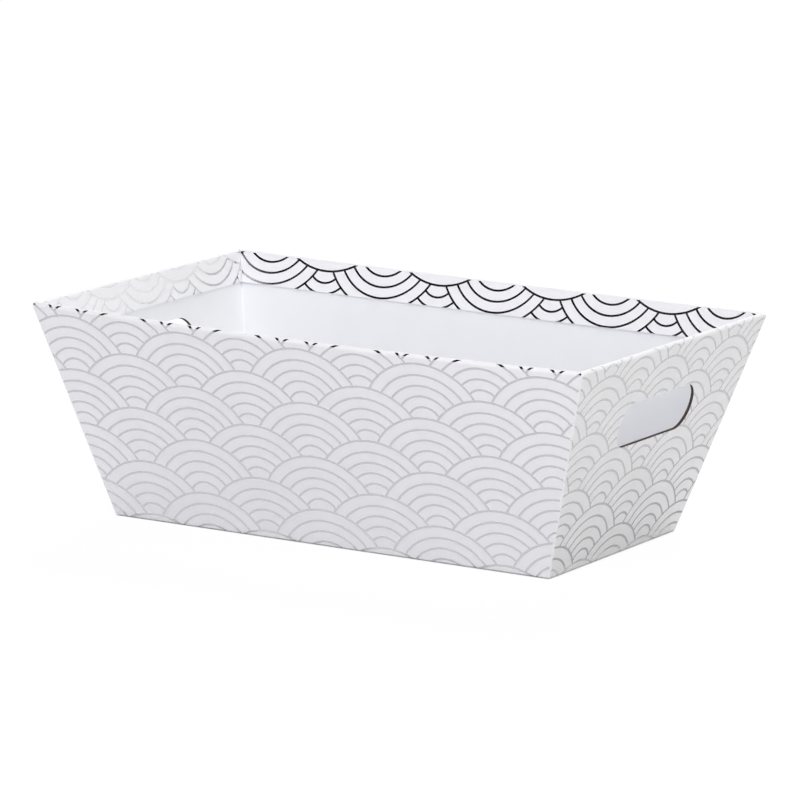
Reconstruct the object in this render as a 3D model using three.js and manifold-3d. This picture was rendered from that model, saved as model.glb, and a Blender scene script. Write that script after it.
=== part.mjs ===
// A rectangular catering tray, folded from one sheet of thin corrugated board.
//
// The sheet gives the base and four walls that lean outwards. The top of each wall is turned
// over to the inside and glued flat, so the rim is a round fold and the band below it is two
// boards thick. The long walls lean out a little further at the middle of their length, so their
// rims bow outwards and dip slightly there. Each end wall has a rounded hand hole, cut square to
// the sloping board below the turned-over band.
//
// Millimetres, +Z up, +X along the tray. The origin is the middle of the underside.

import * as THREE from 'three';
import Module from 'manifold-3d';
import { mergeVertices } from 'three/addons/utils/BufferGeometryUtils.js';

// Outside sizes of the folded tray
const TOP_LENGTH = 317.5; // over the rims of the two end walls
const TOP_WIDTH = 204.5; // over the rims of the two long walls, at the corners
const BASE_LENGTH = 253.8; // where the end walls meet the table
const BASE_WIDTH = 138.4; // where the long walls meet the table
const HEIGHT = 113.0; // at the corners
const LONG_WALL_BOW = 4.6; // how far the rim of a long wall leans out further at its middle

// The board and its folds
const BOARD = 1.6;
const TURN_IN = 17.5; // from the top of the rim down the inside to the cut edge
const BASE_FOLD = 1.6; // outside radius of the crease round the base
const CORNER_FOLD = 2.0; // outside radius of the four upright folds
const INSIDE_FOLD = 0.35; // radius left inside an upright fold
const MITRE_GAP = 0.4; // between the ends of two turned-over bands, in each corner

// The hand holes
const GRIP_LENGTH = 81.0;
const GRIP_HEIGHT = 25.0;
const GRIP_DROP = 27.5; // from the top of the rim down the slope to the hole

// How finely the round parts are divided
const BOW_STEPS = 16;
const END_STEPS = 4;
const CORNER_STEPS = 5;
const CREASE_STEPS = 4;
const RIM_STEPS = 10;
const GRIP_STEPS = 16; // in each round end of a hand hole

const RIM_FOLD = BOARD; // outside radius of the turned-over rim, so that its two layers touch
const CUTTER_REACH = 6 * BOARD; // how far a cutting tool stands out beyond the board

// The section of one wall, in a plane square to it: r runs outwards from the middle of the tray
// and z runs up. The outer face is the line that leaves the table at baseHalf and just touches
// the rim's round fold.
function wallSection(topHalf, baseHalf) {
  const rimCentre = new THREE.Vector2(topHalf - RIM_FOLD, HEIGHT - RIM_FOLD);
  const foot = new THREE.Vector2(baseHalf, 0);
  const toRim = rimCentre.clone().sub(foot);
  const slope = toRim.angle() - Math.asin(RIM_FOLD / toRim.length());
  const up = new THREE.Vector2(Math.cos(slope), Math.sin(slope));
  const out = new THREE.Vector2(up.y, -up.x);

  const insideAngle = Math.PI - slope;
  const creaseCentre = new THREE.Vector2(baseHalf - BASE_FOLD / Math.tan(insideAngle / 2), BASE_FOLD);

  const downFromRim = (inset, down) =>
    rimCentre.clone()
      .addScaledVector(out, RIM_FOLD - inset)
      .addScaledVector(up, RIM_FOLD - down);
  const floorCorner = downFromRim(BOARD, 0);
  floorCorner.addScaledVector(up, (BOARD - floorCorner.y) / up.y);

  return { rimCentre, creaseCentre, up, out, downFromRim, floorCorner };
}

// The points of a wall's section from the underside, over the rim and down to the floor, each
// with its depth below the outer face.
function sectionPoints(section) {
  const { rimCentre, creaseCentre, out, downFromRim, floorCorner } = section;
  const faceAngle = out.angle() - 2 * Math.PI;
  const points = [];

  for (let i = 0; i <= CREASE_STEPS; i++) {
    const angle = THREE.MathUtils.lerp(-Math.PI / 2, faceAngle, i / CREASE_STEPS);
    const ray = new THREE.Vector2(Math.cos(angle), Math.sin(angle));
    points.push({ at: creaseCentre.clone().addScaledVector(ray, BASE_FOLD), depth: 0 });
  }
  for (let i = 0; i <= RIM_STEPS; i++) {
    const angle = faceAngle + Math.PI * i / RIM_STEPS;
    const ray = new THREE.Vector2(Math.cos(angle), Math.sin(angle));
    const depth = RIM_FOLD * (1 - ray.dot(out));
    points.push({ at: rimCentre.clone().addScaledVector(ray, RIM_FOLD), depth });
  }
  points.push({ at: downFromRim(2 * BOARD, TURN_IN), depth: 2 * BOARD });
  points.push({ at: downFromRim(BOARD, TURN_IN), depth: BOARD });
  points.push({ at: floorCorner, depth: BOARD });
  return points;
}

// One closed loop round the tray, counter-clockwise from above, through matching points of the
// end walls' section and the long walls' section.
function loopAround(end, long) {
  const radius = Math.max(CORNER_FOLD - long.depth, INSIDE_FOLD);
  const straightX = end.at.x - radius;
  const straightY = long.at.x - radius;
  const aboveFloor = Math.max(0, long.at.y - BOARD) / (HEIGHT - BOARD);
  const loop = [];
  const add = (x, y, z) => {
    const away = LONG_WALL_BOW * aboveFloor * (1 - (x / end.at.x) ** 2);
    const { out } = longSection;
    loop.push(new THREE.Vector3(x, y + Math.sign(y) * away * out.x, z + away * out.y));
  };
  const corner = (signX, signY, firstAngle) => {
    for (let i = 0; i <= CORNER_STEPS; i++) {
      const angle = firstAngle + Math.PI / 2 * i / CORNER_STEPS;
      const share = Math.abs(Math.sin(angle));
      const x = signX * straightX + radius * Math.cos(angle);
      const y = signY * straightY + radius * Math.sin(angle);
      add(x, y, THREE.MathUtils.lerp(end.at.y, long.at.y, share));
    }
  };
  const endWall = (signX) => {
    for (let i = 1; i < END_STEPS; i++) {
      const y = signX * straightY * (2 * i / END_STEPS - 1);
      loop.push(new THREE.Vector3(signX * end.at.x, y, end.at.y));
    }
  };
  const longWall = (signY) => {
    for (let i = 1; i < BOW_STEPS; i++) {
      add(signY * straightX * (1 - 2 * i / BOW_STEPS), signY * long.at.x, long.at.y);
    }
  };

  corner(1, -1, -Math.PI / 2);
  endWall(1);
  corner(1, 1, 0);
  longWall(1);
  corner(-1, 1, Math.PI / 2);
  endWall(-1);
  corner(-1, -1, Math.PI);
  longWall(-1);
  return loop;
}

// A closed skin through a stack of loops, closed at both ends by a fan round a middle point.
function loftSkin(loops) {
  const count = loops[0].length;
  const firstHeight = loops[0][0].z;
  const lastHeight = loops[loops.length - 1][0].z;
  const points = [new THREE.Vector3(0, 0, firstHeight), ...loops.flat(), new THREE.Vector3(0, 0, lastHeight)];
  const last = points.length - 1;
  const vertex = (level, i) => 1 + level * count + i % count;
  const faces = [];

  for (let i = 0; i < count; i++) {
    faces.push(0, vertex(0, i + 1), vertex(0, i));
    for (let level = 0; level < loops.length - 1; level++) {
      const a = vertex(level, i);
      const b = vertex(level, i + 1);
      const c = vertex(level + 1, i + 1);
      const d = vertex(level + 1, i);
      faces.push(a, b, c, a, c, d);
    }
    faces.push(last, vertex(loops.length - 1, i), vertex(loops.length - 1, i + 1));
  }
  const geometry = new THREE.BufferGeometry().setFromPoints(points);
  geometry.setIndex(faces);
  return geometry;
}

const endSection = wallSection(TOP_LENGTH / 2, BASE_LENGTH / 2);
const longSection = wallSection(TOP_WIDTH / 2, BASE_WIDTH / 2);

// The folded board before it is cut.
function foldedBoard() {
  const endPoints = sectionPoints(endSection);
  const longPoints = sectionPoints(longSection);
  return loftSkin(endPoints.map((point, i) => loopAround(point, longPoints[i])));
}

// A bar with round ends, square to an end wall, that cuts its hand hole.
function gripCutter(signX) {
  const radius = GRIP_HEIGHT / 2;
  const straight = GRIP_LENGTH / 2 - radius;
  const outline = new THREE.Shape();
  outline.absarc(straight, 0, radius, -Math.PI / 2, Math.PI / 2, false);
  outline.absarc(-straight, 0, radius, Math.PI / 2, 3 * Math.PI / 2, false);
  const cutter = new THREE.ExtrudeGeometry(outline, {
    depth: 2 * CUTTER_REACH, bevelEnabled: false, curveSegments: GRIP_STEPS,
  });
  cutter.translate(0, 0, -CUTTER_REACH);

  const middle = endSection.downFromRim(0, GRIP_DROP + radius);
  const along = new THREE.Vector3(0, signX, 0);
  const up = new THREE.Vector3(signX * endSection.up.x, 0, endSection.up.y);
  const out = new THREE.Vector3(signX * endSection.out.x, 0, endSection.out.y);
  const place = new THREE.Matrix4().makeBasis(along, up, out);
  place.setPosition(signX * middle.x, 0, middle.y);
  return cutter.applyMatrix4(place);
}

// A thin blade that stands in a corner and parts the ends of the two turned-over bands there.
// It leaves the outer layer of board, which runs on round the corner, whole.
function mitreCutter(signX, signY) {
  const behindOuterLayer = (down) => {
    const end = endSection.downFromRim(BOARD, down);
    const long = longSection.downFromRim(BOARD, down);
    return new THREE.Vector3(signX * end.x, signY * long.x, (end.y + long.y) / 2);
  };
  const top = behindOuterLayer(-CUTTER_REACH);
  const bottom = behindOuterLayer(TURN_IN);
  const inwards = new THREE.Vector3(bottom.x - top.x, bottom.y - top.y, 0).normalize();
  const upright = new THREE.Vector3(0, 0, 1);
  const across = new THREE.Vector3().crossVectors(inwards, upright);
  const bottomIn = bottom.clone().sub(top).dot(inwards);
  const bottomUp = bottom.z - top.z;
  const bladeReach = bottomIn + CUTTER_REACH;

  const outline = new THREE.Shape([
    new THREE.Vector2(0, 0),
    new THREE.Vector2(bottomIn, bottomUp),
    new THREE.Vector2(bladeReach, bottomUp),
    new THREE.Vector2(bladeReach, 0),
  ]);
  const blade = new THREE.ExtrudeGeometry(outline, { depth: MITRE_GAP, bevelEnabled: false });
  blade.translate(0, 0, -MITRE_GAP / 2);
  const place = new THREE.Matrix4().makeBasis(inwards, upright, across);
  place.setPosition(top);
  return blade.applyMatrix4(place);
}

const wasm = await Module();
wasm.setup();

function solidFrom(geometry) {
  geometry.deleteAttribute('normal');
  geometry.deleteAttribute('uv');
  const merged = mergeVertices(geometry);
  return new wasm.Manifold(new wasm.Mesh({
    numProp: 3,
    vertProperties: new Float32Array(merged.attributes.position.array),
    triVerts: new Uint32Array(merged.index.array),
  }));
}

function geometryFrom(solid) {
  const mesh = solid.getMesh();
  const geometry = new THREE.BufferGeometry();
  geometry.setAttribute('position', new THREE.BufferAttribute(mesh.vertProperties, 3));
  geometry.setIndex(new THREE.BufferAttribute(mesh.triVerts, 1));
  return geometry;
}

function trayMesh() {
  let board = solidFrom(foldedBoard());
  for (const signX of [-1, 1]) {
    board = board.subtract(solidFrom(gripCutter(signX)));
    for (const signY of [-1, 1]) {
      board = board.subtract(solidFrom(mitreCutter(signX, signY)));
    }
  }
  const paper = new THREE.MeshStandardMaterial({
    color: 0xe9e9ec, roughness: 0.6, metalness: 0, flatShading: true,
  });
  const mesh = new THREE.Mesh(geometryFrom(board), paper);
  mesh.name = 'tray';
  return mesh;
}

const group = new THREE.Group();
group.add(trayMesh());

export default group;
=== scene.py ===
"""A rectangular catering tray of thin corrugated board, printed with silver foil waves.

The board is lofted from the section of its walls, as the frame's solid is, with finer folds,
paper skins and brown cut edges. The foil waves are thin strips that follow the printed side of
the sheet: down the outside of each wall and, past the worn top of the rim, down the band inside.
All lengths are in metres.
"""

import math

import bmesh
import bpy
import numpy as np
from mathutils import Matrix, Vector


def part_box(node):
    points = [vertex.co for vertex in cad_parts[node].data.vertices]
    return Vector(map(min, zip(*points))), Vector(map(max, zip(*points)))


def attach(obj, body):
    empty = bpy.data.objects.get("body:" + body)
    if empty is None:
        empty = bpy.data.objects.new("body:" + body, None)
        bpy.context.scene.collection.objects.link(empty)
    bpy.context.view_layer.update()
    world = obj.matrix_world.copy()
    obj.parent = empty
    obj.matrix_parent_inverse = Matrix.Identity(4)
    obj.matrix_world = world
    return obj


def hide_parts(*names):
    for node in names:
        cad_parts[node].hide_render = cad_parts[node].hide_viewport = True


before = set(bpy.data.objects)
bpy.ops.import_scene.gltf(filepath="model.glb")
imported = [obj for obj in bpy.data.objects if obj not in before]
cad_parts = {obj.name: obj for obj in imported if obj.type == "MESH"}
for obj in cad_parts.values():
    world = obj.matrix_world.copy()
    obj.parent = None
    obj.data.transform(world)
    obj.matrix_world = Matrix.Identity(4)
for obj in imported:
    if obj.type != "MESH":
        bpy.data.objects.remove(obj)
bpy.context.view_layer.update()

MM = 0.001

# Sizes of the folded board
tray_low, tray_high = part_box("tray")
TOP_LENGTH = tray_high.x - tray_low.x
TOP_WIDTH = 204.5 * MM
HEIGHT = tray_high.z
LONG_WALL_BOW = 4.6 * MM  # how far the rim of a long wall leans out further at its middle
BASE_LENGTH = 253.8 * MM
BASE_WIDTH = 138.4 * MM
BOARD = 1.6 * MM
TURN_IN = 17.5 * MM  # height of the turned-over band, from the top of the rim
RIM_FOLD = BOARD
BASE_FOLD = 1.0 * MM
CORNER_FOLD = 0.5 * MM
INSIDE_FOLD = 0.35 * MM
MITRE_GAP = 0.2 * MM
GRIP_LENGTH = 81.0 * MM
GRIP_HEIGHT = 25.0 * MM
GRIP_DROP = 27.5 * MM  # from the top of the rim to the top of the hand hole, down the wall
CUTTER_REACH = 6 * BOARD  # how far a cutter passes beyond the board

# The printed waves: rows of touching discs with five rings each, every second row shifted by
# half a disc, and each row lying over the one above it
WAVE_WIDTH = 68.38 * MM
WAVE_RADIUS = 33.66 * MM
RING_RADII = [radius * MM for radius in (33.66, 27.24, 21.28, 15.35, 9.4)]
WAVE_DROP = 30.75 * MM  # from a row to the next row of the same column
SHIFTED_DROP = 17.2 * MM  # from a row to the shifted row below it
LINE_WIDTH = 1.15 * MM

# Where the print lies on each wall: how far one disc is along from the wall's middle, how far its
# crest is below the rim's fold, how far the print leans along the wall for each length down, and
# how far it sinks for each length along
FRONT_PRINT = (-0.1 * MM, 2.7 * MM, 0.0, 0.0)
BACK_PRINT = (0.1 * MM, 3.9 * MM, 0.0, 0.002)
END_PRINT = (32.8 * MM, -11.8 * MM, -0.038, 0.0)
STRIP_STEP = 1.3 * MM
FOIL_LIFT = 0.03 * MM
GRIP_MARGIN = 0.15 * MM  # bare paper round a hand hole
WORN_FOLD = (-4.5 * MM, -2.1 * MM)  # distances w between which no foil is left on the rim's fold

# How finely the board is divided
BOW_STEPS = 64
END_STEPS = 24
CORNER_STEPS = 10
CREASE_STEPS = 8
RIM_STEPS = 16
FACE_STEPS = 12
GRIP_STEPS = 40
SUPPORT = 0.4 * MM  # a loop this close to each fold keeps the flat panels' shading flat
JUST_INSIDE = SUPPORT * 1e-3  # how far within a slice of the print its two ends are measured
WELD_DISTANCE = 0.002 * MM
SHARP_ANGLE = math.radians(25)

# The board's materials, by their place in its list
PRINTED, INSIDE, CUT = range(3)

# The materials. The papers and the cut edges run from a darker to a lighter shade
PRINTED_SHADES = ((0.886, 0.878, 0.906), (0.900, 0.892, 0.920))
INSIDE_SHADES = ((0.835, 0.84, 0.866), (0.849, 0.854, 0.88))
CUT_SHADES = ((0.025, 0.018, 0.018), (0.11, 0.075, 0.065))
SHADES_FROM_NOISE = (0.3, 0.7)  # noise at which the darker shade ends and the lighter one starts
FOIL_COLOUR = (0.78, 0.78, 0.795, 1)
FOIL_ROUGHNESS = (0.18, 0.26)
PAPER_BUMP = 0.05 * MM
CUT_BUMP = 0.2 * MM
FOIL_BUMP = 0.02 * MM

# The floor, and the white that fills the picture behind the tray
FLOOR_HALF = 4.0
FLOOR_DROP = 0.3 * MM  # so that the floor and the tray's underside don't share a plane
FLOOR_GREY = 0.65
FLOOR_WHITE = 1.06
WHITE_TO_CAMERA = 0.88  # the share of that white in what the camera sees of the floor
WHITE_TO_FOIL = 0.15
PAINTED_CONTACT_SHADE_DISTANCE = 1.0 * MM  # how near the tray the floor darkens: painted contact shade, where an occlusion measure thins the white and the lit grey floor with its real shadow shows
WORLD_SEEN = 1.0
WORLD_LIGHT = 0.1

# What only the foil sees, as painted reflections: a dark room overhead, and two glowing cards
# that lie on the floor
ROOM_RADIUS = 6.0
ROOM_OPEN_FRONT = 6.0  # degrees above the horizon where the room starts, at the front
ROOM_OPEN_BACK = 35.0
# The dome's near-black is a painted dark reflection, as nothing but the foil sees the dome
PAINTED_DARK_REFLECTION_GREY = (0.02, 0.02, 0.022, 1)
ROOM_AROUND, ROOM_UPWARDS = 72, 12
PAINTED_REFLECTION_CARD_LEVEL = 1.0 * MM
FRONT_PAINTED_REFLECTION_CARD = ((-0.60, 0.13), (-0.60, -0.071))  # its reach along x and along y; it glows, a painted grey reflection in the front wall's foil
FRONT_PAINTED_REFLECTION_CARD_COLOUR = (0.995, 0.985, 1.03, 1)
FRONT_PAINTED_REFLECTION_CARD_GLOW = 0.72
# The right card glows too, a painted grey reflection in the end walls' foil
RIGHT_PAINTED_REFLECTION_CARD = ((0.13, 0.75), (-0.06, 0.80))
RIGHT_PAINTED_REFLECTION_CARD_COLOUR = (1.0, 1.0, 1.0, 1)
RIGHT_PAINTED_REFLECTION_CARD_RISE = (0.13, 0.19)  # the card gets brighter away from the tray between these x, so its painted reflection is darker low on the end wall
RIGHT_PAINTED_REFLECTION_CARD_GLOW = (0.42, 0.70)

# The lamps: name, place, watts and colour
COOL, WARM, PLAIN = (1.0, 0.995, 1.02), (1.0, 0.995, 0.96), (1, 1, 1)
LAMPS = (
    ("front_low", (0.0, -2.58, 0.44), 19.8, COOL),
    ("front_high", (0.50, -1.87, 1.79), 25.3, COOL),
    ("right_high", (2.15, -0.38, 1.47), 30.9, WARM),
    ("back_high", (-0.66, 1.82, 1.79), 53.0, PLAIN),
)
LAMP_SIZE = 1.2
LAMP_AIM = (0, 0, 50 * MM)

# The camera, as fitted to the tray's corners in the photograph
CAMERA_AZIMUTH, CAMERA_ELEVATION, CAMERA_ROLL = 29.095, 11.091, 1.507  # degrees
CAMERA_DISTANCE = 3.0498
CAMERA_TARGET = (0.9 * MM, 0.0, 64.6 * MM)
FOCAL_PIXELS = 5924.5
PICTURE_PIXELS = 800.0
SENSOR_WIDTH = 36.0  # Blender gives the sensor and the lens in millimetres
CLIP = (0.1, 50.0)


class Section:
    """The section of one wall, square to it: r runs outwards from the middle and z up.

    w is the distance along the printed side of the sheet. It is 0 where the outer face meets the
    rim's round fold, grows down the outer face and round the crease at the base, and is negative
    over the rim and down the turned-over band.
    """

    def __init__(self, top_half, base_half):
        self.rim_centre = np.array([top_half - RIM_FOLD, HEIGHT - RIM_FOLD])
        foot = np.array([base_half, 0.0])
        to_rim = self.rim_centre - foot
        reach = np.hypot(*to_rim)
        slope = math.atan2(to_rim[1], to_rim[0]) - math.asin(RIM_FOLD / reach)
        self.up = np.array([math.cos(slope), math.sin(slope)])
        self.out = np.array([self.up[1], -self.up[0]])
        self.face_angle = math.atan2(self.out[1], self.out[0])
        tangent = BASE_FOLD / math.tan((math.pi - slope) / 2)
        self.crease_centre = np.array([base_half - tangent, BASE_FOLD])
        self.face = math.sqrt(reach ** 2 - RIM_FOLD ** 2) - tangent
        self.crease = BASE_FOLD * (math.pi / 2 + self.face_angle)

    def down_from_rim(self, inset, down):
        return self.rim_centre + self.out * (RIM_FOLD - inset) + self.up * (RIM_FOLD - down)

    def floor_corner(self):
        corner = self.down_from_rim(BOARD, 0)
        return corner + self.up * (BOARD - corner[1]) / self.up[1]

    def on_print(self, w, lift=0.0):
        """The point of the printed side at w, raised off the paper by lift."""
        if w > self.face:
            angle = self.face_angle - (w - self.face) / BASE_FOLD
            ray = np.array([math.cos(angle), math.sin(angle)])
            return self.crease_centre + ray * (BASE_FOLD + lift)
        if w >= 0:
            return self.rim_centre + self.out * (RIM_FOLD + lift) - self.up * w
        if w > -FOLD_LENGTH:
            angle = self.face_angle - w / RIM_FOLD
            ray = np.array([math.cos(angle), math.sin(angle)])
            return self.rim_centre + ray * (RIM_FOLD + lift)
        return self.rim_centre - self.out * (RIM_FOLD + lift) + self.up * (w + FOLD_LENGTH)


FOLD_LENGTH = math.pi * RIM_FOLD
BAND_END = -FOLD_LENGTH - (TURN_IN - RIM_FOLD)
END = Section(TOP_LENGTH / 2, BASE_LENGTH / 2)
LONG = Section(TOP_WIDTH / 2, BASE_WIDTH / 2)


def depth_of(w):
    """How far the printed side at w lies behind the plane of the outer face."""
    if w >= 0:
        return 0.0
    turned = min(-w / RIM_FOLD, math.pi)
    return RIM_FOLD * (1 - math.cos(turned))


def fold_radius(depth):
    return max(CORNER_FOLD - depth, INSIDE_FOLD)


def bow_at(height, x, half_length):
    """How far a long wall stands out at a place along it, as (outwards, up).

    The wall leans about its crease and keeps its length down the slope, so it dips as it leans.
    """
    above_floor = max(0.0, height - BOARD) / (HEIGHT - BOARD)
    away = LONG_WALL_BOW * above_floor * (1 - (x / half_length) ** 2)
    return away * LONG.out[0], away * LONG.out[1]


# The board

def loop_around(end_point, long_point, depth):
    """A closed loop round the tray, counter-clockwise from above."""
    radius = fold_radius(depth)
    straight_x = end_point[0] - radius
    straight_y = long_point[0] - radius
    loop = []

    def add(x, y, z):
        away, dip = bow_at(long_point[1], x, end_point[0])
        loop.append((x, y + math.copysign(away, y), z + dip))

    def corner(sign_x, sign_y, first_angle):
        for i in range(CORNER_STEPS + 1):
            angle = first_angle + math.pi / 2 * i / CORNER_STEPS
            share = abs(math.sin(angle))
            z = end_point[1] * (1 - share) + long_point[1] * share
            add(sign_x * straight_x + radius * math.cos(angle),
                sign_y * straight_y + radius * math.sin(angle), z)

    def end_wall(sign):
        for i in range(1, END_STEPS):
            y = sign * straight_y * (2 * i / END_STEPS - 1)
            loop.append((sign * end_point[0], y, end_point[1]))

    def long_wall(sign):
        for i in range(1, BOW_STEPS):
            add(sign * straight_x * (1 - 2 * i / BOW_STEPS), sign * long_point[0], long_point[1])

    corner(1, -1, -math.pi / 2)
    end_wall(1)
    corner(1, 1, 0.0)
    long_wall(1)
    corner(-1, 1, math.pi / 2)
    end_wall(-1)
    corner(-1, -1, math.pi)
    long_wall(-1)
    return loop


def print_levels(section):
    """Distances w of the loops on the printed side, from the underside up and over the rim."""
    face = section.face
    levels = [face + section.crease * (1 - i / CREASE_STEPS) for i in range(CREASE_STEPS)]
    levels += [face, face - SUPPORT]
    levels += [face * (1 - i / FACE_STEPS) for i in range(1, FACE_STEPS)]
    levels += [SUPPORT]
    levels += [-FOLD_LENGTH * i / RIM_STEPS for i in range(RIM_STEPS + 1)]
    levels += [-FOLD_LENGTH - SUPPORT, BAND_END + SUPPORT, BAND_END]
    return levels


def board_loops():
    """The loops of the folded board and, for each gap between two loops, its material."""
    loops, skins = [], []
    for end_w, long_w in zip(print_levels(END), print_levels(LONG)):
        loops.append(loop_around(END.on_print(end_w), LONG.on_print(long_w), depth_of(long_w)))
        skins.append(PRINTED)
    behind = [(section.down_from_rim(BOARD, TURN_IN), section.floor_corner())
              for section in (END, LONG)]
    (end_edge, end_floor), (long_edge, long_floor) = behind
    # The band's cut end takes the pale inside paper, not the brown cut edge: painted pale so no
    # dark line of shade shows under the band
    skins[-1] = INSIDE
    for i in range(FACE_STEPS + 1):
        share = i / FACE_STEPS
        end_point = end_edge + (end_floor - end_edge) * share
        long_point = long_edge + (long_floor - long_edge) * share
        loops.append(loop_around(end_point, long_point, BOARD))
        skins.append(INSIDE)
    return loops, skins


def new_object(name, mesh_data, materials):
    mesh = bpy.data.meshes.new(name)
    mesh_data.to_mesh(mesh)
    mesh_data.free()
    for material in materials:
        mesh.materials.append(material)
    piece = bpy.data.objects.new(name, mesh)
    bpy.context.collection.objects.link(piece)
    return piece


def lofted_board():
    loops, skins = board_loops()
    data = bmesh.new()
    rows = [[data.verts.new(point) for point in loop] for loop in loops]
    count = len(rows[0])
    for level in range(len(rows) - 1):
        for i in range(count):
            j = (i + 1) % count
            face = data.faces.new((rows[level][i], rows[level][j],
                                   rows[level + 1][j], rows[level + 1][i]))
            face.material_index = skins[level]
    underside = data.faces.new(list(reversed(rows[0])))
    underside.material_index = PRINTED
    floor = data.faces.new(rows[-1])
    floor.material_index = INSIDE
    return data


def prism(outline, axis_u, axis_v, axis_n, centre, low, high, skin):
    """A closed bar with the given outline in the plane of axis_u and axis_v."""
    data = bmesh.new()
    rings = []
    for reach in (low, high):
        ring = [centre + axis_u * u + axis_v * v + axis_n * reach for u, v in outline]
        rings.append([data.verts.new(point) for point in ring])
    count = len(outline)
    for i in range(count):
        j = (i + 1) % count
        data.faces.new((rings[0][i], rings[0][j], rings[1][j], rings[1][i]))
    data.faces.new(list(reversed(rings[0])))
    data.faces.new(rings[1])
    for face in data.faces:
        face.material_index = skin
    return data


def grip_outline(grow=0.0):
    """The rounded outline of a hand hole, about its middle."""
    radius = GRIP_HEIGHT / 2 + grow
    straight = GRIP_LENGTH / 2 - GRIP_HEIGHT / 2
    outline = []
    for side, first in ((1, -math.pi / 2), (-1, math.pi / 2)):
        for i in range(GRIP_STEPS + 1):
            angle = first + math.pi * i / GRIP_STEPS
            outline.append((side * straight + radius * math.cos(angle), radius * math.sin(angle)))
    return outline


def grip_cutter(sign):
    middle = END.down_from_rim(0, GRIP_DROP + GRIP_HEIGHT / 2)
    along = Vector((0, sign, 0))
    up = Vector((sign * END.up[0], 0, END.up[1]))
    out = Vector((sign * END.out[0], 0, END.out[1]))
    centre = Vector((sign * middle[0], 0, middle[1]))
    return prism(grip_outline(), along, up, out, centre, -CUTTER_REACH, CUTTER_REACH, CUT)


def mitre_cutter(sign_x, sign_y):
    """The blade that parts the ends of the turned-over bands in a corner."""
    def behind_outer_layer(down):
        end = END.down_from_rim(BOARD, down)
        long = LONG.down_from_rim(BOARD, down)
        return Vector((sign_x * end[0], sign_y * long[0], (end[1] + long[1]) / 2))

    top = behind_outer_layer(-CUTTER_REACH)
    bottom = behind_outer_layer(TURN_IN)
    inwards = Vector((bottom.x - top.x, bottom.y - top.y, 0)).normalized()
    upright = Vector((0, 0, 1))
    across = inwards.cross(upright)
    bottom_in = (bottom - top).dot(inwards)
    bottom_up = bottom.z - top.z
    reach = bottom_in + CUTTER_REACH
    outline = [(0, 0), (bottom_in, bottom_up), (reach, bottom_up), (reach, 0)]
    # The gap's sides take the pale inside paper, not the brown cut edge: painted pale so the gap
    # shows less of a dark line of shade
    return prism(outline, inwards, upright, across, top, -MITRE_GAP / 2, MITRE_GAP / 2, INSIDE)


def cut(piece, cutter_data, materials):
    bmesh.ops.recalc_face_normals(cutter_data, faces=cutter_data.faces)
    cutter = new_object("cutter", cutter_data, materials)
    boolean = piece.modifiers.new("cut", "BOOLEAN")
    boolean.operation = "DIFFERENCE"
    boolean.solver = "EXACT"
    boolean.object = cutter
    bpy.context.view_layer.objects.active = piece
    bpy.ops.object.modifier_apply(modifier=boolean.name)
    bpy.data.objects.remove(cutter)


def make_board(materials):
    board = new_object("tray_board", lofted_board(), materials)
    for sign_x in (-1, 1):
        cut(board, grip_cutter(sign_x), materials)
        for sign_y in (-1, 1):
            cut(board, mitre_cutter(sign_x, sign_y), materials)
    smooth(board)
    return board


def smooth(piece):
    for face in piece.data.polygons:
        face.use_smooth = True
    piece.data.set_sharp_from_angle(angle=SHARP_ANGLE)


# The printed waves

def hidden_angle(radius, next_row_drop):
    """The angle from upright at which a ring of this radius passes behind the rows below."""
    cover = WAVE_RADIUS + LINE_WIDTH / 2
    angles = [math.pi / 2]
    for across, down in ((WAVE_WIDTH / 2, next_row_drop), (0.0, WAVE_DROP)):
        far = math.hypot(across, down)
        level = (radius ** 2 + far ** 2 - cover ** 2) / (2 * radius * far)
        if abs(level) < 1:
            angles.append(math.atan2(down, across) + math.asin(level))
    return min(angles)


def wave_strips(centre_u, centre_w, next_row_drop):
    """The visible parts of one disc's rings, as four-sided pieces (u, w)."""
    strips = []
    for ring in RING_RADII:
        inner, outer = ring - LINE_WIDTH / 2, ring + LINE_WIDTH / 2
        inner_end = hidden_angle(inner, next_row_drop)
        outer_end = hidden_angle(outer, next_row_drop)
        steps = max(4, math.ceil(2 * ring * outer_end / STRIP_STEP))

        def edge(i):
            turn = 2 * i / steps - 1
            points = []
            for radius, end in ((inner, inner_end), (outer, outer_end)):
                angle = end * turn
                points.append((centre_u + radius * math.sin(angle),
                               centre_w - radius * math.cos(angle)))
            return points

        edges = [edge(i) for i in range(steps + 1)]
        for (a, b), (c, d) in zip(edges, edges[1:]):
            strips.append([a, b, d, c])
    return strips


def clip(polygon, a, b, c):
    """The part of a convex polygon where a * u + b * w is at most c."""
    kept = []
    for (u0, w0), (u1, w1) in zip(polygon, polygon[1:] + polygon[:1]):
        side0 = a * u0 + b * w0 - c
        side1 = a * u1 + b * w1 - c
        if side0 <= 0:
            kept.append((u0, w0))
        if (side0 < 0 < side1) or (side1 < 0 < side0):
            share = side0 / (side0 - side1)
            kept.append((u0 + (u1 - u0) * share, w0 + (w1 - w0) * share))
    return kept


def wall_half(own, other, w):
    """Half of a wall's length at w, measured along the sheet to the middle of its corner fold."""
    partner_w = w * other.face / own.face if w > 0 else w
    half = other.on_print(partner_w)[0]
    radius = fold_radius(depth_of(w))
    if w < 0:
        return half - radius - MITRE_GAP / 2
    return half - radius + radius * math.pi / 4


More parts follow.
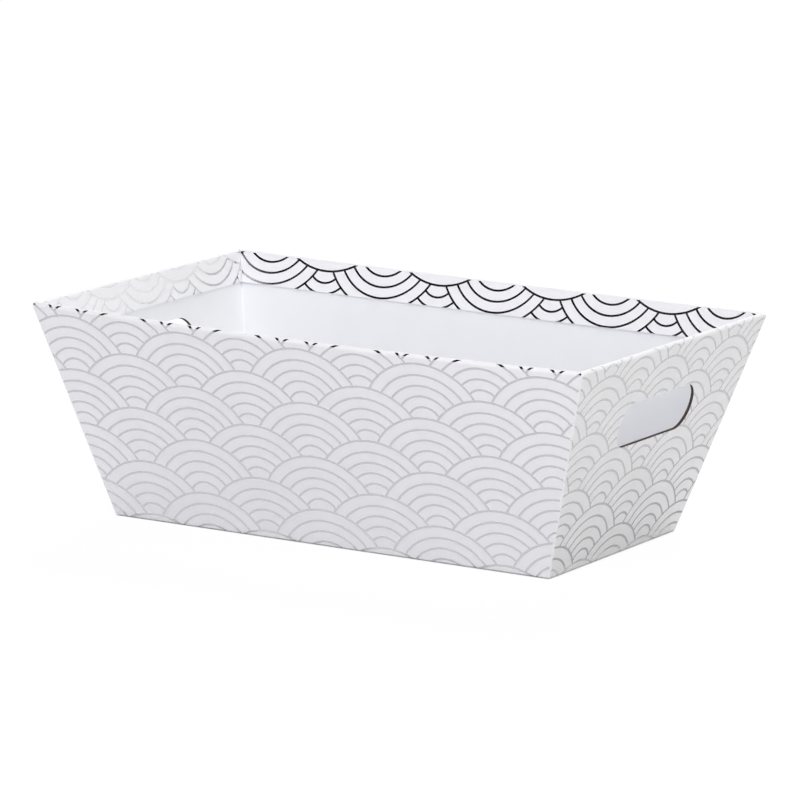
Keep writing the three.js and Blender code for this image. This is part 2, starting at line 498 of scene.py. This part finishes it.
def wall_slices(own, other):
    """The printed stretches of a wall, each as two values of w and its half length at both."""
    levels = [BAND_END]
    levels += [-FOLD_LENGTH * (1 - i / RIM_STEPS) for i in range(RIM_STEPS + 1)]
    levels += [own.face]
    levels += [own.face + own.crease * i / CREASE_STEPS for i in range(1, CREASE_STEPS + 1)]
    slices = []
    for w0, w1 in zip(levels, levels[1:]):
        if WORN_FOLD[0] < (w0 + w1) / 2 < WORN_FOLD[1]:
            continue
        half0 = wall_half(own, other, w0 + JUST_INSIDE)
        half1 = wall_half(own, other, w1 - JUST_INSIDE)
        slices.append((w0, w1, half0, half1))
    return slices


def outside_grip(polygon, grip):
    """The parts of a convex polygon that lie outside the hand hole."""
    parts = []
    rest = polygon
    for (u0, w0), (u1, w1) in zip(grip, grip[1:] + grip[:1]):
        a, b = w1 - w0, u0 - u1
        c = a * u0 + b * w0
        outer = clip(rest, -a, -b, -c)
        if len(outer) > 2:
            parts.append(outer)
        rest = clip(rest, a, b, c)
        if len(rest) < 3:
            break
    return parts


def wall_strips(own, other, placing, has_grip):
    """Every strip of foil on one wall, clipped to the wall and its hand hole."""
    first_u, first_crest, lean, sink = placing
    slices = wall_slices(own, other)
    reach_u = max(half for piece in slices for half in piece[2:])
    low_w, high_w = slices[0][0], slices[-1][1]
    columns = math.ceil(reach_u / WAVE_WIDTH) + 1
    rows = math.ceil((high_w - low_w) / WAVE_DROP) + 2
    strips = []
    for row in range(-rows, rows):
        for column in range(-columns, columns + 1):
            crest = first_crest + row * WAVE_DROP
            for shift, drop, next_drop in ((0.0, 0.0, SHIFTED_DROP),
                                           (0.5, SHIFTED_DROP, WAVE_DROP - SHIFTED_DROP)):
                centre_u = first_u + (column + shift) * WAVE_WIDTH
                centre_w = crest + drop + WAVE_RADIUS
                for strip in wave_strips(centre_u, centre_w, next_drop):
                    strips.append([(u + lean * w, w + sink * u) for u, w in strip])

    grip_w = GRIP_DROP + GRIP_HEIGHT / 2 - RIM_FOLD
    grip = [(u, grip_w - v) for u, v in grip_outline(grow=GRIP_MARGIN)]
    grip.reverse()
    grip_low = min(w for u, w in grip)
    grip_high = max(w for u, w in grip)
    clipped = []
    for strip in strips:
        lowest = min(w for u, w in strip)
        highest = max(w for u, w in strip)
        nearest = min(abs(u) for u, w in strip)
        if highest < low_w or lowest > high_w or nearest > reach_u:
            continue
        for w0, w1, half0, half1 in slices:
            if highest <= w0 or lowest >= w1:
                continue
            part = clip(clip(strip, 0, -1, -w0), 0, 1, w1)
            widening = (half1 - half0) / (w1 - w0)
            for side in (-1, 1):
                part = clip(part, side, -widening, half0 - widening * w0)
            if len(part) < 3:
                continue
            if has_grip and highest > grip_low and lowest < grip_high:
                clipped += outside_grip(part, grip)
            else:
                clipped.append(part)
    return clipped


def on_wall(own, other, u, w, lift):
    """A place on the printed side as (along the wall, outwards, up)."""
    point = own.on_print(w, lift)
    flat = own.on_print(w)
    partner_w = w * other.face / own.face if w > 0 else w
    half = other.on_print(partner_w)[0]
    radius = fold_radius(depth_of(w))
    past = max(0.0, abs(u) - (half - radius)) / radius
    if past == 0.0:
        return u, point[0], point[1]
    along = half - radius + (radius + lift) * math.sin(past)
    outwards = flat[0] - radius + (radius + lift) * math.cos(past)
    return math.copysign(along, u), outwards, point[1]


def on_long_wall(sign, u, w):
    along, outwards, up = on_wall(LONG, END, u, w, FOIL_LIFT)
    partner_w = w * END.face / LONG.face if w > 0 else w
    half = END.on_print(partner_w)[0]
    away, dip = bow_at(LONG.on_print(w)[1], along, half)
    return Vector((-sign * along, sign * (outwards + away), up + dip))


def on_end_wall(sign, u, w):
    along, outwards, up = on_wall(END, LONG, u, w, FOIL_LIFT)
    return Vector((sign * outwards, sign * along, up))


def make_foil(material):
    """The silver waves of all four walls, as one piece of many thin strips."""
    data = bmesh.new()
    for own, other, placing, has_grip, place, sign in (
        (LONG, END, FRONT_PRINT, False, on_long_wall, -1),
        (LONG, END, BACK_PRINT, False, on_long_wall, 1),
        (END, LONG, END_PRINT, True, on_end_wall, -1),
        (END, LONG, END_PRINT, True, on_end_wall, 1),
    ):
        for strip in wall_strips(own, other, placing, has_grip):
            corners = [data.verts.new(place(sign, u, w)) for u, w in strip]
            data.faces.new(corners)
    bmesh.ops.remove_doubles(data, verts=data.verts, dist=WELD_DISTANCE)
    foil = new_object("silver_waves", data, [material])
    smooth(foil)
    return foil


# Materials

def new_material(name):
    material = bpy.data.materials.new(name)
    material.use_nodes = True
    nodes = material.node_tree.nodes
    return material, nodes, material.node_tree.links, nodes["Principled BSDF"]


def mapped_noise(nodes, links, scale, detail=3.0, stretch=(1, 1, 1)):
    place = nodes.new("ShaderNodeTexCoord")
    mapping = nodes.new("ShaderNodeMapping")
    mapping.inputs["Scale"].default_value = stretch
    noise = nodes.new("ShaderNodeTexNoise")
    noise.inputs["Scale"].default_value = scale
    noise.inputs["Detail"].default_value = detail
    links.new(place.outputs["Object"], mapping.inputs["Vector"])
    links.new(mapping.outputs["Vector"], noise.inputs["Vector"])
    return noise.outputs["Fac"]


def shade(nodes, links, shader, noise, shades):
    """Colours the surface between its two shades, as the noise goes up and down."""
    blend = nodes.new("ShaderNodeValToRGB")
    for stop, position, colour in zip(blend.color_ramp.elements, SHADES_FROM_NOISE, shades):
        stop.position = position
        stop.color = (*colour, 1)
    links.new(noise, blend.inputs["Fac"])
    links.new(blend.outputs["Color"], shader.inputs["Base Color"])


def bump(nodes, links, shader, height, strength, distance):
    node = nodes.new("ShaderNodeBump")
    node.inputs["Strength"].default_value = strength
    node.inputs["Distance"].default_value = distance
    links.new(height, node.inputs["Height"])
    links.new(node.outputs["Normal"], shader.inputs["Normal"])


def map_range(nodes, links, value, from_range, to_range):
    node = nodes.new("ShaderNodeMapRange")
    node.inputs["From Min"].default_value, node.inputs["From Max"].default_value = from_range
    node.inputs["To Min"].default_value, node.inputs["To Max"].default_value = to_range
    links.new(value, node.inputs["Value"])
    return node.outputs["Result"]


def paper(name, shades, mottle_scale, grain_scale, grain_strength, roughness, specular):
    material, nodes, links, shader = new_material(name)
    shade(nodes, links, shader, mapped_noise(nodes, links, mottle_scale), shades)
    shader.inputs["Roughness"].default_value = roughness
    shader.inputs["Specular IOR Level"].default_value = specular
    grain = mapped_noise(nodes, links, grain_scale)
    bump(nodes, links, shader, grain, grain_strength, PAPER_BUMP)
    return material


def printed_paper():
    return paper("printed_paper", PRINTED_SHADES, mottle_scale=45.0, grain_scale=900.0,
                 grain_strength=0.08, roughness=0.5, specular=0.12)


def inside_paper():
    return paper("inside_paper", INSIDE_SHADES, mottle_scale=60.0, grain_scale=1200.0,
                 grain_strength=0.12, roughness=0.75, specular=0.2)


def cut_edge():
    material, nodes, links, shader = new_material("cut_edge")
    fibres = mapped_noise(nodes, links, scale=700.0, detail=4.0, stretch=(1, 1, 0.4))
    shade(nodes, links, shader, fibres, CUT_SHADES)
    shader.inputs["Roughness"].default_value = 0.9
    bump(nodes, links, shader, fibres, strength=0.5, distance=CUT_BUMP)
    return material


def silver_foil():
    material, nodes, links, shader = new_material("silver_foil")
    shader.inputs["Metallic"].default_value = 1.0
    shader.inputs["Base Color"].default_value = FOIL_COLOUR
    grain = mapped_noise(nodes, links, scale=500.0)
    rough = map_range(nodes, links, grain, (0.0, 1.0), FOIL_ROUGHNESS)
    links.new(rough, shader.inputs["Roughness"])
    bump(nodes, links, shader, grain, strength=0.05, distance=FOIL_BUMP)
    return material


# The studio

def maths(nodes, links, operation, first, second):
    node = nodes.new("ShaderNodeMath")
    node.operation = operation
    links.new(first, node.inputs[0])
    links.new(second, node.inputs[1])
    return node.outputs[0]


def light_path_mix(nodes, links, seen, lit):
    """One shader for the camera and for mirror and see-through rays, another for the rest."""
    path = nodes.new("ShaderNodeLightPath")
    either = maths(nodes, links, "MAXIMUM",
                   path.outputs["Is Camera Ray"], path.outputs["Is Glossy Ray"])
    any_of = maths(nodes, links, "MAXIMUM", either, path.outputs["Is Transmission Ray"])
    mix = nodes.new("ShaderNodeMixShader")
    links.new(any_of, mix.inputs["Fac"])
    links.new(lit, mix.inputs[1])
    links.new(seen, mix.inputs[2])
    return mix.outputs[0]


def make_world():
    world = bpy.data.worlds.new("studio")
    bpy.context.scene.world = world
    world.use_nodes = True
    nodes, links = world.node_tree.nodes, world.node_tree.links
    nodes.clear()
    skies = []
    for strength in (WORLD_SEEN, WORLD_LIGHT):
        sky = nodes.new("ShaderNodeBackground")
        sky.inputs["Color"].default_value = (1, 1, 1, 1)
        sky.inputs["Strength"].default_value = strength
        skies.append(sky.outputs[0])
    output = nodes.new("ShaderNodeOutputWorld")
    links.new(light_path_mix(nodes, links, *skies), output.inputs["Surface"])


def rectangle(name, reach_x, reach_y, z, material):
    data = bmesh.new()
    (x0, x1), (y0, y1) = reach_x, reach_y
    corners = [(x0, y0, z), (x1, y0, z), (x1, y1, z), (x0, y1, z)]
    data.faces.new([data.verts.new(corner) for corner in corners])
    return new_object(name, data, [material])


def make_floor():
    """A grey floor that holds the tray's shadow under a veil of white, thinner for the foil, and
    thinned near the tray as painted contact shade.
    """
    material, nodes, links, shader = new_material("floor")
    shader.inputs["Base Color"].default_value = (FLOOR_GREY, FLOOR_GREY, FLOOR_GREY, 1)
    shader.inputs["Roughness"].default_value = 0.9
    shader.inputs["Specular IOR Level"].default_value = 0.0
    white = nodes.new("ShaderNodeEmission")
    white.inputs["Strength"].default_value = FLOOR_WHITE
    path = nodes.new("ShaderNodeLightPath")
    share = nodes.new("ShaderNodeMath")
    share.operation = "MULTIPLY_ADD"
    share.inputs[1].default_value = WHITE_TO_CAMERA - WHITE_TO_FOIL
    share.inputs[2].default_value = WHITE_TO_FOIL
    links.new(path.outputs["Is Camera Ray"], share.inputs[0])
    # Painted contact shade: an occlusion measure thins the white near the tray
    painted_contact_shade = nodes.new("ShaderNodeAmbientOcclusion")
    painted_contact_shade.samples = 8
    painted_contact_shade.inputs["Distance"].default_value = PAINTED_CONTACT_SHADE_DISTANCE
    veil = nodes.new("ShaderNodeMixShader")
    links.new(maths(nodes, links, "MULTIPLY", share.outputs[0], painted_contact_shade.outputs["AO"]),
              veil.inputs["Fac"])
    links.new(shader.outputs[0], veil.inputs[1])
    links.new(white.outputs[0], veil.inputs[2])
    links.new(light_path_mix(nodes, links, veil.outputs[0], shader.outputs[0]),
              nodes["Material Output"].inputs["Surface"])
    reach = (-FLOOR_HALF, FLOOR_HALF)
    rectangle("floor", reach, reach, -FLOOR_DROP, material)


def hide_from_all_but_foil(piece):
    piece.visible_camera = False
    piece.visible_diffuse = False
    piece.visible_shadow = False
    piece.visible_transmission = False


def make_painted_dark_reflection():
    """A painted dark reflection of the unlit room above the floor, as only the foil sees it: open
    low down, and more so at the back.
    """
    data = bmesh.new()
    rows = []
    for i in range(ROOM_AROUND):
        turn = 2 * math.pi * i / ROOM_AROUND
        behind = (1 - math.cos(turn)) / 2
        behind *= behind * (3 - 2 * behind)
        lowest = math.radians(ROOM_OPEN_FRONT + (ROOM_OPEN_BACK - ROOM_OPEN_FRONT) * behind)
        row = []
        for j in range(ROOM_UPWARDS):
            rise = lowest + (math.pi / 2 - lowest) * j / ROOM_UPWARDS
            row.append(data.verts.new((-ROOM_RADIUS * math.sin(turn) * math.cos(rise),
                                       -ROOM_RADIUS * math.cos(turn) * math.cos(rise),
                                       ROOM_RADIUS * math.sin(rise))))
        rows.append(row)
    top = data.verts.new((0, 0, ROOM_RADIUS))
    for row, beside in zip(rows, rows[1:] + rows[:1]):
        for j in range(ROOM_UPWARDS - 1):
            data.faces.new((row[j], beside[j], beside[j + 1], row[j + 1]))
        data.faces.new((row[-1], beside[-1], top))
    material, nodes, links, shader = new_material("painted_dark_reflection")
    shader.inputs["Base Color"].default_value = PAINTED_DARK_REFLECTION_GREY
    shader.inputs["Roughness"].default_value = 1.0
    shader.inputs["Specular IOR Level"].default_value = 0.0
    hide_from_all_but_foil(new_object("painted_dark_reflection", data, [material]))


def lay_painted_reflection_card(name, reach, colour):
    """A glowing card on the floor, seen only by the foil as a painted reflection. Returns its
    material's parts.
    """
    material, nodes, links, shader = new_material(name)
    shader.inputs["Base Color"].default_value = (0, 0, 0, 1)
    shader.inputs["Specular IOR Level"].default_value = 0.0
    shader.inputs["Emission Color"].default_value = colour
    hide_from_all_but_foil(rectangle(name, *reach, PAINTED_REFLECTION_CARD_LEVEL, material))
    return nodes, links, shader


def make_painted_reflection_cards():
    """The cards that paint a grey reflection into the lines on the two near walls, painted darker
    low on the end wall.
    """
    nodes, links, shader = lay_painted_reflection_card("right_painted_reflection_card", RIGHT_PAINTED_REFLECTION_CARD, RIGHT_PAINTED_REFLECTION_CARD_COLOUR)
    place = nodes.new("ShaderNodeTexCoord")
    split = nodes.new("ShaderNodeSeparateXYZ")
    links.new(place.outputs["Object"], split.inputs[0])
    glow = map_range(nodes, links, split.outputs["X"], RIGHT_PAINTED_REFLECTION_CARD_RISE, RIGHT_PAINTED_REFLECTION_CARD_GLOW)
    links.new(glow, shader.inputs["Emission Strength"])
    nodes, links, shader = lay_painted_reflection_card("front_painted_reflection_card", FRONT_PAINTED_REFLECTION_CARD, FRONT_PAINTED_REFLECTION_CARD_COLOUR)
    shader.inputs["Emission Strength"].default_value = FRONT_PAINTED_REFLECTION_CARD_GLOW


def add_lamp(name, place, watts, colour):
    """A soft lamp that faces the tray and doesn't show in the foil."""
    light = bpy.data.lights.new(name, "AREA")
    light.shape = "SQUARE"
    light.size = LAMP_SIZE
    light.energy = watts
    light.color = colour
    lamp = bpy.data.objects.new(name, light)
    lamp.location = place
    direction = Vector(LAMP_AIM) - Vector(place)
    lamp.rotation_euler = direction.to_track_quat("-Z", "Y").to_euler()
    bpy.context.collection.objects.link(lamp)
    lamp.visible_glossy = False


def make_camera():
    """The photograph's view: a long lens, from the right of the front and a little above."""
    azimuth, elevation, roll = (math.radians(angle) for angle in
                                (CAMERA_AZIMUTH, CAMERA_ELEVATION, CAMERA_ROLL))
    back = Vector((math.sin(azimuth) * math.cos(elevation),
                   -math.cos(azimuth) * math.cos(elevation), math.sin(elevation)))
    level_right = Vector((math.cos(azimuth), math.sin(azimuth), 0))
    level_up = back.cross(level_right)
    right = level_right * math.cos(roll) + level_up * math.sin(roll)
    up = level_up * math.cos(roll) - level_right * math.sin(roll)
    data = bpy.data.cameras.new("camera")
    data.sensor_fit = "HORIZONTAL"
    data.sensor_width = SENSOR_WIDTH
    data.lens = FOCAL_PIXELS / PICTURE_PIXELS * SENSOR_WIDTH
    data.clip_start, data.clip_end = CLIP
    camera = bpy.data.objects.new("camera", data)
    place = Matrix((right, up, back)).transposed().to_4x4()
    place.translation = Vector(CAMERA_TARGET) + back * CAMERA_DISTANCE
    camera.matrix_world = place
    bpy.context.collection.objects.link(camera)
    bpy.context.scene.camera = camera


make_camera()
make_world()
make_floor()
make_painted_dark_reflection()
make_painted_reflection_cards()
for lamp in LAMPS:
    add_lamp(*lamp)

board = make_board([printed_paper(), inside_paper(), cut_edge()])
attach(board, "root")
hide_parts("tray")

foil = make_foil(silver_foil())
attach(foil, "root")

bpy.context.scene.view_settings.view_transform = "Standard"
